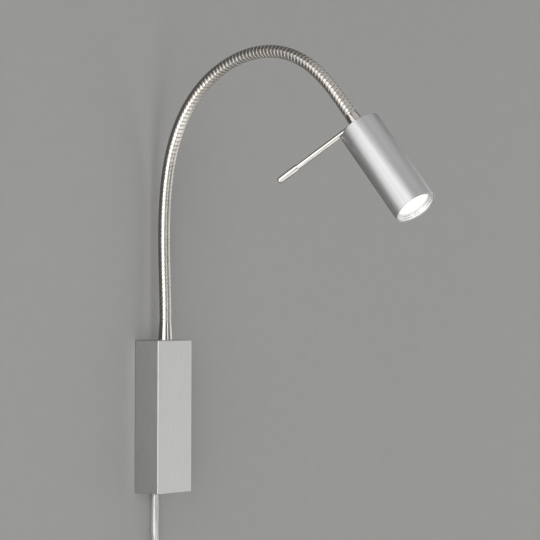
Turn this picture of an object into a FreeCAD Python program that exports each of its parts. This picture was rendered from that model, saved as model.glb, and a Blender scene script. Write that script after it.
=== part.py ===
"""Bedside wall reading lamp: a brushed metal wall box, a ribbed flexible neck and a round metal head.

Millimetres. The wall is the plane y = 0, the lamp stands out from it towards -Y, +Z is up and +X is
to the right of someone who faces the wall. The origin is on the wall, in the middle of the four
fixing holes of the wall bracket, which is also the middle of the box's height.
"""
import FreeCAD, Part
import math
import os

import Sketcher
from FreeCAD import Placement, Rotation, Vector

# Every driving size, by name. Lengths are in millimetres and turns in degrees.
SIZES = {
    # wall box
    "box_width": 50, "box_depth": 30, "box_height": 150, "box_wall": 1.5, "box_edge_radius": 1.2,
    # wall bracket
    "bracket_width": 42, "bracket_thickness": 1.5, "bracket_clearance": 0.15,
    "bracket_top_ear": 7.5, "bracket_bottom_ear": 14, "bracket_bend_radius": 1,
    "wall_hole_radius": 2.25, "wall_hole_spacing_x": 26, "wall_hole_spacing_z": 90,
    # screws through the bottom of the box
    "screw_radius": 1.5, "screw_hole_radius": 1.7, "screw_head_radius": 2.8, "screw_head_height": 1.7,
    "screw_length": 7, "screw_spacing": 28, "screw_from_wall": 8, "screw_fit": 0.03,
    # mains cord and its way into the box
    "cord_radius": 3.5, "cord_from_wall": 4.2, "cord_inside_from_wall": 5.4, "cord_inside_length": 29,
    "grommet_wall": 1.3, "grommet_lip": 1.2, "grommet_fit": 0.05,
    "clamp_width": 24, "clamp_height": 8, "clamp_bar": 3, "clamp_above_bottom": 17,
    "clamp_screw_spacing": 16, "clamp_screw_head": 2.3, "clamp_screw_radius": 1.3, "notch_height": 15.5,
    # electrics inside the box
    "terminal_width": 19, "terminal_depth": 12, "terminal_height": 16, "terminal_above_bottom": 35,
    "terminal_pole_spacing": 9, "terminal_hole_radius": 1.6, "terminal_screw_radius": 1.7,
    "terminal_screw_length": 4.5, "terminal_screw_inset": 4, "terminal_screw_sunk": 0.5,
    "wire_radius": 0.9, "wire_seat": 2.5,
    "driver_width": 36, "driver_depth": 19, "driver_height": 54, "driver_above_bottom": 57,
    "driver_foot": 5, "driver_foot_thickness": 2, "driver_corner_radius": 1.5,
    "driver_screw_radius": 1.4, "driver_screw_head": 2.5,
    "driver_lead_offset": 5, "driver_lead_low_share": 0.3, "driver_lead_high_share": 0.65,
    # neck foot: a coned collar whose threaded tail goes through the top of the box
    "neck_from_wall": 17, "foot_length": 18, "foot_radius": 7.1, "foot_tail_radius": 5,
    "foot_tail_length": 9, "foot_tail_bore": 2.6, "spigot_radius": 3.9, "spigot_length": 8,
    "spigot_fit": 0.05, "nut_across_flats": 14, "nut_height": 3, "thread_fit": 0.03,
    "washer_radius": 8.5, "washer_thickness": 1, "hole_fit": 0.1,
    # ribbed neck
    "neck_radius": 6, "neck_groove_depth": 0.8, "neck_groove_width": 1, "neck_ribs_per_link": 9,
    "link_length": 30.3, "link_gap": 1.6, "ball_radius": 4.6, "socket_fit": 0.1,
    "neck_bore": 2.3, "lead_radius": 1.8,
    "turn_01": -2.4, "turn_02": 0.5, "turn_03": 2.4, "turn_04": 4, "turn_05": 7, "turn_06": 10.3,
    "turn_07": 13.1, "turn_08": 14.6, "turn_09": 13.7, "turn_10": 13.7, "turn_11": 16, "turn_12": 18.2,
    "turn_13": 16.9, "turn_14": 10.9, "turn_15": 0.9,
    # collar at the head's end of the neck, and the aiming handle on it
    "collar_length": 16, "collar_radius": 7.3, "collar_tail_radius": 4.95, "collar_tail_length": 11,
    "handle_radius": 2.5, "handle_reach": 91, "handle_seat": 4.9, "handle_from_head": 6.4,
    "handle_turn": 23, "handle_fit": 0.05,
    "grip_radius": 3.1, "grip_length": 22, "grip_end_wall": 3, "grip_tip_radius": 1.9,
    # head
    "head_radius": 20.5, "head_length": 98, "head_wall": 1.2, "head_edge": 0.5,
    "back_thickness": 3.5, "back_fit": 0.05, "back_hole_fit": 0.05,
    "sink_start": 30, "sink_length": 32, "sink_fit": 0.3, "sink_core_radius": 8, "sink_bore": 2.2,
    "sink_plate": 4, "sink_fins": 14, "fin_thickness": 1.6,
    "board_radius": 13, "board_thickness": 1.6, "chip_side": 11, "chip_height": 1,
    "board_screw_offset": 10, "board_screw_radius": 1.2, "board_screw_head": 2.2,
    "board_screw_head_height": 1.3,
    "reflector_rim": 17.6, "reflector_throat": 8.2, "reflector_wall": 0.8, "reflector_clearance": 0.2,
    "bezel_length": 9, "bezel_step": 1.92, "bezel_window": 14.6, "bezel_fit": 0.05,
    "lens_radius": 16.4, "lens_thickness": 2, "lens_recess": 5.5, "lens_fit": 0.1,
    "lens_flat_radius": 8.2, "lens_shoulder_radius": 13.4, "lens_shoulder_drop": 0.24, "lens_crown": 0.6,
    # coil of the spare cord, its tie, and the plug
    "coil_outer_radius": 54, "coil_pitch": 7.8, "coil_turns": 6.02, "coil_crossing_turns": 1,
    "coil_start_angle": 26.2, "coil_x": -25, "coil_z": -195, "coil_from_wall": 5.2,
    "coil_run_in": 22, "coil_run_out": 11,
    "tie_width": 10, "tie_thickness": 1.1, "tie_clearance": 0.35,
    "plug_rear_width": 16, "plug_width": 35, "plug_face_width": 26, "plug_thickness": 13.7,
    "plug_length": 36, "plug_widest": 18, "plug_corner_radius": 3, "boot_length": 22,
    "boot_radius": 5.5, "boot_tip_radius": 4.3, "pin_radius": 2, "pin_length": 19, "pin_spacing": 18.6,
    "pin_seat": 8,
}

# Free stretch of the cord: offsets (x, y, z) from its exit, before it runs straight into the coil.
CORD_ROUTE = [(0, 0, 0), (0, 0, -20), (-1, -0.4, -52)]
# Free end of the cord: offsets (x, y, z) from the coil's end, after it has run straight out of it.
CORD_END_ROUTE = [(7.6, -0.2, -23), (8.4, -0.4, -39)]

doc = FreeCAD.newDocument("reading_lamp")
sheet = doc.addObject("Spreadsheet::Sheet", "sizes")
for row, (alias, size) in enumerate(SIZES.items(), start=1):
    sheet.set(f"A{row}", alias)
    sheet.set(f"B{row}", str(size))
    sheet.setAlias(f"B{row}", alias)
doc.recompute()


class Size:
    """A number that carries the spreadsheet expression which gives it."""

    def __init__(self, value, text):
        self.value = float(value)
        self.text = text

    def joined(self, sign, other, value, turned=False):
        first, second = (expression(other), self.text) if turned else (self.text, expression(other))
        return Size(value, f"({first} {sign} {second})")

    def __add__(self, other):
        return self.joined("+", other, self.value + number(other))

    def __radd__(self, other):
        return self.joined("+", other, number(other) + self.value, turned=True)

    def __sub__(self, other):
        return self.joined("-", other, self.value - number(other))

    def __rsub__(self, other):
        return self.joined("-", other, number(other) - self.value, turned=True)

    def __mul__(self, other):
        return self.joined("*", other, self.value * number(other))

    def __rmul__(self, other):
        return self.joined("*", other, number(other) * self.value, turned=True)

    def __truediv__(self, other):
        return self.joined("/", other, self.value / number(other))

    def __neg__(self):
        return Size(-self.value, f"(0 - {self.text})")


class Sizes:
    """The spreadsheet's cells as attributes."""

    def __getattr__(self, alias):
        return Size(sheet.get(alias), f"sizes.{alias}")


def number(size):
    return size.value if isinstance(size, Size) else float(size)


def expression(size):
    return size.text if isinstance(size, Size) else repr(float(size))


def bind(thing, prop, size):
    """Hold a property of an object at a size."""
    thing.setExpression(prop, expression(size))


s = Sizes()
X_AXIS = Vector(1, 0, 0)
Z_AXIS = Vector(0, 0, 1)
TOUCHING = 1e-4  # two places closer than this are the same place
NECK_LINKS = 15
BEND_SHARE = 0.45  # how much of a straight run the bend at its end may use


# ---------------------------------------------------------------- sketches and features

def new_body(label):
    body = doc.addObject("PartDesign::Body", label)
    body.Label = label
    return body


def new_sketch(body, role="XY_Plane"):
    """A sketch on one of the body's own origin planes."""
    sketch = body.newObject("Sketcher::SketchObject", "sketch")
    base = [feature for feature in body.Origin.OriginFeatures if feature.Role == role][0]
    sketch.AttachmentSupport = (base, [""])
    sketch.MapMode = "FlatFace"
    return sketch


def hold(sketch, kind, geometry, end, size):
    """Hold one coordinate of a sketch point at a size."""
    if number(size) == 0:
        axis = -2 if kind == "DistanceX" else -1
        sketch.addConstraint(Sketcher.Constraint("PointOnObject", geometry, end, axis))
        return
    made = sketch.addConstraint(Sketcher.Constraint(kind, -1, 1, geometry, end, number(size)))
    bind(sketch, f"Constraints[{made}]", size)


def draw_outline(sketch, points):
    """A closed outline of straight lines through points given by sizes."""
    first = sketch.GeometryCount
    count = len(points)
    for here, there in zip(points, points[1:] + points[:1]):
        ends = [Vector(number(point[0]), number(point[1]), 0) for point in (here, there)]
        sketch.addGeometry(Part.LineSegment(*ends))
    for index, (across, up) in enumerate(points):
        following = first + (index + 1) % count
        sketch.addConstraint(Sketcher.Constraint("Coincident", first + index, 2, following, 1))
        hold(sketch, "DistanceX", first + index, 1, across)
        hold(sketch, "DistanceY", first + index, 1, up)


def draw_circle(sketch, across, up, radius):
    centre = Vector(number(across), number(up), 0)
    made = sketch.addGeometry(Part.Circle(centre, Z_AXIS, number(radius)))
    hold(sketch, "DistanceX", made, 3, across)
    hold(sketch, "DistanceY", made, 3, up)
    held = sketch.addConstraint(Sketcher.Constraint("Radius", made, number(radius)))
    bind(sketch, f"Constraints[{held}]", radius)


def rectangle(left, bottom, right, top):
    return [(left, bottom), (right, bottom), (right, top), (left, top)]


def pad(body, sketch, length, midplane=False, back=False):
    feature = body.newObject("PartDesign::Pad", "pad")
    feature.Profile = sketch
    feature.Midplane = midplane
    feature.Reversed = back
    bind(feature, "Length", length)
    return feature


def pocket(body, sketch, depth, back=False, midplane=False):
    """Cut the sketch's shape out of the body; stops if nothing was cut."""
    doc.recompute()
    before = body.Shape.Volume
    feature = body.newObject("PartDesign::Pocket", "pocket")
    feature.Profile = sketch
    feature.Reversed = back
    feature.Midplane = midplane
    bind(feature, "Length", depth)
    doc.recompute()
    if not body.Shape.Volume < before:
        raise RuntimeError(f"a pocket of {body.Label} cut nothing")
    return feature


def revolve(body, sketch, kind="PartDesign::Revolution"):
    """Turn a sketch round its own vertical axis."""
    feature = body.newObject(kind, "turned")
    feature.Profile = sketch
    feature.ReferenceAxis = (sketch, ["V_Axis"])
    feature.Angle = 360
    return feature


def dress_edges(body, kind, prop, size, chosen):
    """Give a fillet or a chamfer of this size to the edges of the body that the test picks."""
    doc.recompute()
    tip = body.Tip
    names = [f"Edge{n}" for n, edge in enumerate(tip.Shape.Edges, start=1) if chosen(edge)]
    feature = body.newObject(kind, "dressed")
    feature.Base = (tip, names)
    bind(feature, prop, size)
    return feature


def round_edges(body, radius, chosen):
    return dress_edges(body, "PartDesign::Fillet", "Radius", radius, chosen)


def bevel_edges(body, size, chosen):
    return dress_edges(body, "PartDesign::Chamfer", "Size", size, chosen)


def turned_body(label, outline, place=None):
    """A body turned round its own Z axis from an outline of (radius, height) points."""
    body = new_body(label)
    sketch = new_sketch(body, "XZ_Plane")
    draw_outline(sketch, outline)
    revolve(body, sketch)
    if place:
        body.Placement = place
    return body


def cylinder(radius, height, base=Vector(), direction=Z_AXIS, label="stock"):
    feature = doc.addObject("Part::Cylinder", label)
    bind(feature, "Radius", radius)
    bind(feature, "Height", height)
    feature.Placement = Placement(base, Rotation(Z_AXIS, direction))
    return feature


def block(width, depth, height, corner, label="stock"):
    """A box from its lowest corner."""
    feature = doc.addObject("Part::Box", label)
    for prop, size in zip(("Length", "Width", "Height"), (width, depth, height)):
        bind(feature, prop, size)
    for axis, size in zip("xyz", corner):
        bind(feature, f"Placement.Base.{axis}", size)
    return feature


def cut(base, tool, label="cut"):
    feature = doc.addObject("Part::Cut", label)
    feature.Base, feature.Tool = base, tool
    return feature


def fuse(shapes, label="joined"):
    feature = doc.addObject("Part::MultiFuse", label)
    feature.Shapes = shapes
    return feature


def group(shapes, label):
    """Like pieces that stay separate solids and share one node."""
    feature = doc.addObject("Part::Compound", label)
    feature.Links = shapes
    return feature


def made_feature(label, shape):
    """A sub-part whose shape is worked out below from the sheet's sizes."""
    feature = doc.addObject("Part::Feature", label)
    feature.Shape = shape
    return feature


def named(feature, label):
    feature.Label = label
    return feature


# ---------------------------------------------------------------- heights that several pieces share

BOX_TOP = s.box_height / 2
BOX_BOTTOM = -(s.box_height / 2)
INNER_TOP = BOX_TOP - s.box_wall
INNER_BOTTOM = BOX_BOTTOM + s.box_wall
PLATE_FRONT = -s.bracket_thickness
CORD_EXIT = Vector(0, -number(s.cord_from_wall), number(BOX_BOTTOM))


def on_neck_axis(height):
    """The placement of a piece that stands on the neck's foot axis."""
    return Placement(Vector(0, -number(s.neck_from_wall), number(height)), Rotation())


# ---------------------------------------------------------------- wall box

def make_housing():
    """Five-sided box, open to the wall, with a neck hole on top and a cord slot below."""
    body = new_body("housing")
    outside = new_sketch(body)
    half = s.box_width / 2
    draw_outline(outside, rectangle(-half, -s.box_depth, half, 0))
    pad(body, outside, s.box_height, midplane=True)
    round_edges(body, s.box_edge_radius, lambda edge: edge.BoundBox.YMin < -TOUCHING)
    inside = new_sketch(body, "XZ_Plane")
    inner = half - s.box_wall
    draw_outline(inside, rectangle(-inner, INNER_BOTTOM, inner, INNER_TOP))
    pocket(body, inside, s.box_depth - s.box_wall, back=True)
    neck_hole = new_sketch(body)
    draw_circle(neck_hole, 0, -s.neck_from_wall, s.foot_tail_radius + s.hole_fit)
    pocket(body, neck_hole, s.box_height, back=True)
    bottom_holes = new_sketch(body)
    slot = s.cord_radius + s.grommet_wall + 2 * s.grommet_fit
    draw_circle(bottom_holes, 0, -s.cord_from_wall, slot)
    for side in (-1, 1):
        draw_circle(bottom_holes, side * s.screw_spacing / 2, -s.screw_from_wall, s.screw_hole_radius)
    pocket(body, bottom_holes, s.box_height)
    bevel_edges(body, s.screw_head_radius - s.screw_hole_radius,
                lambda edge: is_ring(edge, s.screw_hole_radius, BOX_BOTTOM))
    return body


def make_wall_bracket():
    """Folded steel plate with an ear under the box's top and a tapped ear at its bottom."""
    body = new_body("wall_bracket")
    profile = new_sketch(body, "YZ_Plane")
    top = INNER_TOP - s.bracket_clearance
    bottom = INNER_BOTTOM + s.bracket_clearance
    thick = s.bracket_thickness
    draw_outline(profile, [
        (0, bottom), (0, top), (-s.bracket_top_ear, top), (-s.bracket_top_ear, top - thick),
        (-thick, top - thick), (-thick, bottom + thick), (-s.bracket_bottom_ear, bottom + thick),
        (-s.bracket_bottom_ear, bottom)])
    pad(body, profile, s.bracket_width, midplane=True)
    round_edges(body, s.bracket_bend_radius, is_inner_bend)
    holes = new_sketch(body, "XZ_Plane")
    for side in (-1, 1):
        for end in (-1, 1):
            draw_circle(holes, side * s.wall_hole_spacing_x / 2, end * s.wall_hole_spacing_z / 2,
                        s.wall_hole_radius)
    pocket(body, holes, s.bracket_thickness, back=True)
    tapped = new_sketch(body)
    for side in (-1, 1):
        draw_circle(tapped, side * s.screw_spacing / 2, -s.screw_from_wall, s.screw_radius + s.screw_fit)
    pocket(body, tapped, s.box_height)
    notch = new_sketch(body)
    half = s.cord_radius + s.grommet_wall + s.grommet_lip + 2 * s.grommet_fit
    draw_outline(notch, rectangle(-half, -(s.cord_from_wall + half), half, 0))
    bind(notch, "AttachmentOffset.Base.z", bottom + s.notch_height)
    pocket(body, notch, s.box_height)
    return body


def is_inner_bend(edge):
    """The long inner edges of the bracket's two folds."""
    box = edge.BoundBox
    along_x = box.XLength > number(s.bracket_width) - TOUCHING
    return along_x and abs(box.YMin - number(PLATE_FRONT)) < TOUCHING


def screw(radius, length, head_radius, head_height, seat, direction):
    """A pan-head screw: its head stands on the seat point and its shank runs along the direction."""
    shank = cylinder(radius, length + head_height, seat - direction * number(head_height), direction)
    head = cylinder(head_radius, head_height, seat - direction * number(head_height), direction)
    return fuse([shank, head])


def make_cover_screws():
    """Two countersunk screws, flush with the box's bottom, that go up into the bracket's lower ear."""
    rim = s.screw_head_radius - s.screw_fit
    screws = []
    for side in (-1, 1):
        seat = Vector(side * number(s.screw_spacing) / 2, -number(s.screw_from_wall), number(BOX_BOTTOM))
        head = doc.addObject("Part::Cone", "head")
        for prop, size in (("Radius1", rim), ("Radius2", s.screw_radius), ("Height", rim - s.screw_radius)):
            bind(head, prop, size)
        head.Placement = Placement(seat, Rotation())
        screws.append(fuse([cylinder(s.screw_radius, s.screw_length, seat), head]))
    return group(screws, "cover_screws")


def make_cord_grommet():
    """Rubber bush in the cord slot, with a lip inside the box, cut flush with the wall."""
    outer = s.cord_radius + s.grommet_wall
    height = s.box_wall + s.grommet_lip
    sleeve = cylinder(outer, height, CORD_EXIT)
    lip = cylinder(outer + s.grommet_lip, s.grommet_lip, CORD_EXIT + Z_AXIS * number(s.box_wall))
    bore = cylinder(s.cord_radius + s.grommet_fit, height, CORD_EXIT)
    bush = cut(fuse([sleeve, lip]), bore)
    reach = outer + 2 * s.grommet_lip
    behind = block(2 * reach, reach, 2 * height, (-reach, -s.grommet_fit, BOX_BOTTOM - height / 2))
    return named(cut(bush, behind), "cord_grommet")


# ---------------------------------------------------------------- electrics inside the box

CLAMP_BOTTOM = INNER_BOTTOM + s.clamp_above_bottom
TERMINAL_BOTTOM = INNER_BOTTOM + s.terminal_above_bottom
DRIVER_BOTTOM = INNER_BOTTOM + s.driver_above_bottom


def make_cord_clamp():
    """Nylon saddle that grips the cord's sheath against the bracket."""
    body = new_body("cord_clamp")
    profile = new_sketch(body)
    half = s.clamp_width / 2
    front = s.cord_inside_from_wall + s.cord_radius + s.clamp_bar
    draw_outline(profile, rectangle(-half, -front, half, PLATE_FRONT))
    pad(body, profile, s.clamp_height)
    groove = new_sketch(body)
    channel = s.cord_radius + s.grommet_fit
    draw_outline(groove, rectangle(-channel, -s.cord_inside_from_wall, channel, 0))
    pocket(body, groove, s.clamp_height, back=True)
    arch = new_sketch(body)
    draw_circle(arch, 0, -s.cord_inside_from_wall, channel)
    pocket(body, arch, s.clamp_height, back=True)
    holes = new_sketch(body, "XZ_Plane")
    for side in (-1, 1):
        draw_circle(holes, side * s.clamp_screw_spacing / 2, s.clamp_height / 2,
                    s.clamp_screw_radius + s.screw_fit)
    pocket(body, holes, front, back=True)
    bind(body, "Placement.Base.z", CLAMP_BOTTOM)
    return body


def make_clamp_screws():
    """Two screws through the cord clamp, up to the bracket."""
    front = number(s.cord_inside_from_wall + s.cord_radius + s.clamp_bar)
    length = front - number(s.bracket_thickness)
    height = number(CLAMP_BOTTOM + s.clamp_height / 2)
    seats = [Vector(side * number(s.clamp_screw_spacing) / 2, -front, height) for side in (-1, 1)]
    return group([screw(s.clamp_screw_radius, length, s.clamp_screw_head, s.screw_head_height,
                        seat, Vector(0, 1, 0)) for seat in seats], "clamp_screws")


def terminal_screw_heights():
    """Heights of the clamping screws over the terminal block's bottom."""
    return s.terminal_screw_inset, s.terminal_height - s.terminal_screw_inset


def make_terminal_block():
    """Two-pole screw terminal on the bracket."""
    body = new_body("terminal_block")
    profile = new_sketch(body)
    half = s.terminal_width / 2
    front = s.bracket_thickness + s.terminal_depth
    draw_outline(profile, rectangle(-half, -front, half, PLATE_FRONT))
    pad(body, profile, s.terminal_height)
    ways = new_sketch(body)
    for side in (-1, 1):
        draw_circle(ways, side * s.terminal_pole_spacing / 2, -(s.bracket_thickness + s.terminal_depth / 2),
                    s.terminal_hole_radius)
    pocket(body, ways, s.terminal_height, back=True)
    screws = new_sketch(body, "XZ_Plane")
    for side in (-1, 1):
        for height in terminal_screw_heights():
            draw_circle(screws, side * s.terminal_pole_spacing / 2, height,
                        s.terminal_screw_radius + s.screw_fit)
    bind(screws, "AttachmentOffset.Base.z", front - s.terminal_screw_length)
    pocket(body, screws, s.terminal_screw_length, back=True)
    bind(body, "Placement.Base.z", TERMINAL_BOTTOM)
    return body


def make_terminal_screws():
    """The four clamping screws of the terminal block."""
    front = number(s.bracket_thickness + s.terminal_depth - s.terminal_screw_sunk)
    screws = []
    for side in (-1, 1):
        for height in terminal_screw_heights():
            base = Vector(side * number(s.terminal_pole_spacing) / 2, -front,
                          number(TERMINAL_BOTTOM + height))
            screws.append(cylinder(s.terminal_screw_radius, s.terminal_screw_length - s.terminal_screw_sunk,
                                   base, Vector(0, 1, 0)))
    return group(screws, "terminal_screws")


def make_driver():
    """Sealed constant-current supply with a screw foot at each end."""
    body = new_body("led_driver")
    case = new_sketch(body)
    half = s.driver_width / 2
    front = s.bracket_thickness + s.driver_depth
    draw_outline(case, rectangle(-half, -front, half, PLATE_FRONT))
    pad(body, case, s.driver_height)
    round_edges(body, s.driver_corner_radius, lambda edge: edge.BoundBox.YMax < number(-front) + TOUCHING)
    feet = new_sketch(body, "XZ_Plane")
    narrow = half / 2
    draw_outline(feet, rectangle(-narrow, -s.driver_foot, narrow, s.driver_height + s.driver_foot))
    bind(feet, "AttachmentOffset.Base.z", s.bracket_thickness)
    pad(body, feet, s.driver_foot_thickness)
    holes = new_sketch(body, "XZ_Plane")
    for height in (-s.driver_foot / 2, s.driver_height + s.driver_foot / 2):
        draw_circle(holes, 0, height, s.driver_screw_radius + s.screw_fit)
    pocket(body, holes, front, back=True)
    bind(body, "Placement.Base.z", DRIVER_BOTTOM)
    return body


def make_driver_screws():
    """Two screws through the driver's feet."""
    front = number(s.bracket_thickness + s.driver_foot_thickness)
    heights = (DRIVER_BOTTOM - s.driver_foot / 2, DRIVER_BOTTOM + s.driver_height + s.driver_foot / 2)
    return group([screw(s.driver_screw_radius, s.driver_foot_thickness, s.driver_screw_head,
                        s.screw_head_height, Vector(0, -front, number(height)), Vector(0, 1, 0))
                  for height in heights], "driver_screws")


# ---------------------------------------------------------------- tubes: cord, leads and coil

def circle_wire(centre, direction, radius):
    """A circle square to a direction, whose own X axis is the model's X axis where it can be."""
    across = Z_AXIS if abs(direction.dot(X_AXIS)) > 0.9 else X_AXIS
    side = direction.cross(across).normalize()
    placed = Placement(centre, Rotation(side.cross(direction), side, direction, "ZXY"))
    edge = Part.makeCircle(radius)
    edge.Placement = placed
    return Part.Wire([edge])


def sweep(edges, start, direction, radius):
    """A round tube along tangent edges."""
    path = Part.Wire(edges)
    return path.makePipeShell([circle_wire(start, direction, radius)], True, False)


def route_edges(points):
    """Straight runs joined by tangent arcs, and the radius of each arc."""
    edges, radii = [], []
    here = points[0]
    for before, corner, after in zip(points, points[1:], points[2:]):
        arrive, leave = (corner - before).normalize(), (after - corner).normalize()
        half_turn = arrive.getAngle(leave) / 2
        trim = BEND_SHARE * min((corner - before).Length, (after - corner).Length)
        radius = trim / math.tan(half_turn)
        first, last = corner - arrive * trim, corner + leave * trim
        inward = (leave - arrive).normalize()
        middle = corner + inward * (radius / math.cos(half_turn) - radius)
        edges.append(Part.LineSegment(here, first).toShape())
        edges.append(Part.Arc(first, middle, last).toShape())
        radii.append(radius)
        here = last
    edges.append(Part.LineSegment(here, points[-1]).toShape())
    return edges, radii


def make_tube(label, points, radius):
    """A tube of round section along a route; prints how long it is and how tightly it bends."""
    edges, radii = route_edges(points)
    shape = sweep(edges, points[0], (points[1] - points[0]).normalize(), radius)
    length = sum(edge.Length for edge in edges)
    share = shape.Volume / (math.pi * radius ** 2 * length)
    print(f"{label}: {length:.1f} mm long, bend radii {[round(r) for r in radii]}, volume ratio {share:.4f}")
    return made_feature(label, shape)


def make_cord_tail():
    """The end of the mains cord inside the box, up through the clamp."""
    inside = -number(s.cord_inside_from_wall)
    top = number(BOX_BOTTOM + s.cord_inside_length)
    straight = 2 * number(s.cord_radius)
    points = [CORD_EXIT, CORD_EXIT + Z_AXIS * straight, Vector(0, inside, CORD_EXIT.z + 2 * straight),
              Vector(0, inside, top)]
    return make_tube("cord_tail", points, number(s.cord_radius))


def make_supply_wires():
    """Two cores from the cord to the terminals, and two from the terminals to the driver."""
    pole_y = -number(s.bracket_thickness + s.terminal_depth / 2)
    core_y = -number(s.cord_inside_from_wall)
    cord_top = number(BOX_BOTTOM + s.cord_inside_length)
    low, high = number(TERMINAL_BOTTOM), number(TERMINAL_BOTTOM + s.terminal_height)
    seat = number(s.wire_seat)
    wires = []
    for side in (-1, 1):
        pole = side * number(s.terminal_pole_spacing) / 2
        core = side * number(s.cord_radius) / 2
        points = [Vector(core, core_y, cord_top), Vector(core, core_y, cord_top + seat),
                  Vector(pole, pole_y, low - seat / 2), Vector(pole, pole_y, low + seat)]
        wires.append(make_tube("core", points, number(s.wire_radius)))
        wires.append(cylinder(s.wire_radius, DRIVER_BOTTOM - high + seat,
                              Vector(pole, pole_y, high - seat)))
    return group(wires, "supply_wires")


# ---------------------------------------------------------------- neck path

def turned_about_x(degrees):
    return Rotation(X_AXIS, degrees)


def link_turns():
    return [number(getattr(s, f"turn_{n:02d}")) for n in range(1, NECK_LINKS + 1)]


def neck_point(start, degrees, length, turn, along):
    """Point and heading on a link's arc, from its start, its heading and its turn over its length."""
    heading = degrees + turn * along / length
    if turn == 0:
        step = Vector(0, 0, along)
        return start + turned_about_x(degrees).multVec(step), heading
    radius = length / math.radians(turn)
    swept = math.radians(turn * along / length)
    step = Vector(0, -radius * (1 - math.cos(swept)), radius * math.sin(swept))
    return start + turned_about_x(degrees).multVec(step), heading


def neck_stations():
    """Where each link starts, as (point, heading from vertical), and where the last one ends."""
    point = Vector(0, -number(s.neck_from_wall), number(BOX_TOP + s.foot_length))
    heading = 0.0
    stations = [(point, heading)]
    for turn in link_turns():
        point, heading = neck_point(point, heading, number(s.link_length), turn, number(s.link_length))
        stations.append((point, heading))
    return stations


STATIONS = neck_stations()
NECK_END, HEAD_TILT = STATIONS[-1]
HEAD_ROTATION = turned_about_x(HEAD_TILT)
HEAD_BACK = NECK_END + HEAD_ROTATION.multVec(Vector(0, 0, number(s.collar_length)))
HEAD_PLACE = Placement(HEAD_BACK, HEAD_ROTATION)


def in_head(height, rotation=Rotation()):
    """The placement of a piece at a height along the head's axis, from the head's back."""
    return HEAD_PLACE.multiply(Placement(Vector(0, 0, number(height)), rotation))


def make_link(index):
    """One link of the neck: ribs on a curved core, a socket at its start and a ball at its end."""
    start, degrees = STATIONS[index]
    turn = link_turns()[index]
    length = number(s.link_length)
    is_first, is_last = index == 0, index == NECK_LINKS - 1
    low = 0 if is_first else number(s.link_gap) / 2
    high = length if is_last else length - number(s.link_gap) / 2
    crest = number(s.neck_radius)
    groove = crest - number(s.neck_groove_depth)
    ribs = int(number(s.neck_ribs_per_link))
    pitch, half = length / ribs, number(s.neck_groove_width) / 2

    def ring(along, radius, shift=0):
        """A circle square to the arc, or shifted along the arc's tangent from there."""
        centre, heading = neck_point(start, degrees, length, turn, along)
        square = turned_about_x(heading)
        edge = Part.makeCircle(radius)
        edge.Placement = Placement(centre + square.multVec(Z_AXIS * shift), square)
        return Part.Wire([edge])

    rings = [ring(low, crest), ring(pitch - half, crest)]
    for rib in range(1, ribs):
        middle = (rib + 0.5) * pitch
        reach = pitch / 2 - half
        rings.append(ring(rib * pitch, groove))
        if rib < ribs - 1:
            rings += [ring(middle, crest, -reach), ring(middle, crest, reach)]
    rings += [ring(length - pitch + half, crest), ring(high, crest)]
    shape = Part.makeLoft(rings, True, True)
    end, end_heading = STATIONS[index + 1]
    onward = turned_about_x(end_heading).multVec(Z_AXIS)
    spigot = number(s.spigot_length)
    if is_first:
        shape = shape.fuse(Part.makeCylinder(number(s.spigot_radius), spigot, start - Z_AXIS * spigot))
    else:
        inward = turned_about_x(degrees).multVec(Z_AXIS)
        shape = shape.cut(Part.makeSphere(number(s.ball_radius + s.socket_fit), start, inward))
    if is_last:
        shape = shape.fuse(Part.makeCylinder(number(s.spigot_radius), spigot, end, onward))
    else:
        shape = shape.fuse(Part.makeSphere(number(s.ball_radius), end, onward))
    shape = shape.cut(link_bore(start, degrees, end, end_heading, turn))
    return made_feature(f"neck_link_{index + 1:02d}", shape)


def link_bore(start, degrees, end, end_heading, turn):
    """The way for the lead through a link, past both its ends."""
    beyond = number(s.spigot_length) + number(s.ball_radius)
    begin = start - turned_about_x(degrees).multVec(Z_AXIS) * beyond
    finish = end + turned_about_x(end_heading).multVec(Z_AXIS) * beyond
    middle = neck_point(start, degrees, number(s.link_length), turn, number(s.link_length) / 2)[0]
    edges = [Part.LineSegment(begin, start).toShape(), Part.Arc(start, middle, end).toShape(),
             Part.LineSegment(end, finish).toShape()]
    return sweep(edges, begin, (start - begin).normalize(), number(s.neck_bore))


def make_neck_lead():
    """The head's two-core lead, in the neck's bore from the foot's tail to the head's collar."""
    tail = number(s.foot_length + s.foot_tail_length)
    begin = STATIONS[0][0] - Z_AXIS * tail
    edges = [Part.LineSegment(begin, STATIONS[0][0]).toShape()]
    length = number(s.link_length)
    for (start, degrees), (end, _), turn in zip(STATIONS, STATIONS[1:], link_turns()):
        middle = neck_point(start, degrees, length, turn, length / 2)[0]
        edges.append(Part.Arc(start, middle, end).toShape())
    edges.append(Part.LineSegment(NECK_END, HEAD_BACK).toShape())
    return made_feature("neck_lead", sweep(edges, begin, Z_AXIS, number(s.lead_radius)))


def make_driver_lead():
    """The lead's way from the driver's top to the foot of the neck, bent at shares of its height."""
    driver_top = number(DRIVER_BOTTOM + s.driver_height)
    tail_end = number(BOX_TOP - s.foot_tail_length)
    out = -number(s.neck_from_wall)
    near = out + number(s.driver_lead_offset)
    low = driver_top + number(s.driver_lead_low_share) * (tail_end - driver_top)
    high = driver_top + number(s.driver_lead_high_share) * (tail_end - driver_top)
    points = [Vector(0, near, driver_top), Vector(0, near, low), Vector(0, out, high),
              Vector(0, out, tail_end)]
    return make_tube("driver_lead", points, number(s.lead_radius))


# ---------------------------------------------------------------- neck foot and its fixing

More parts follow.
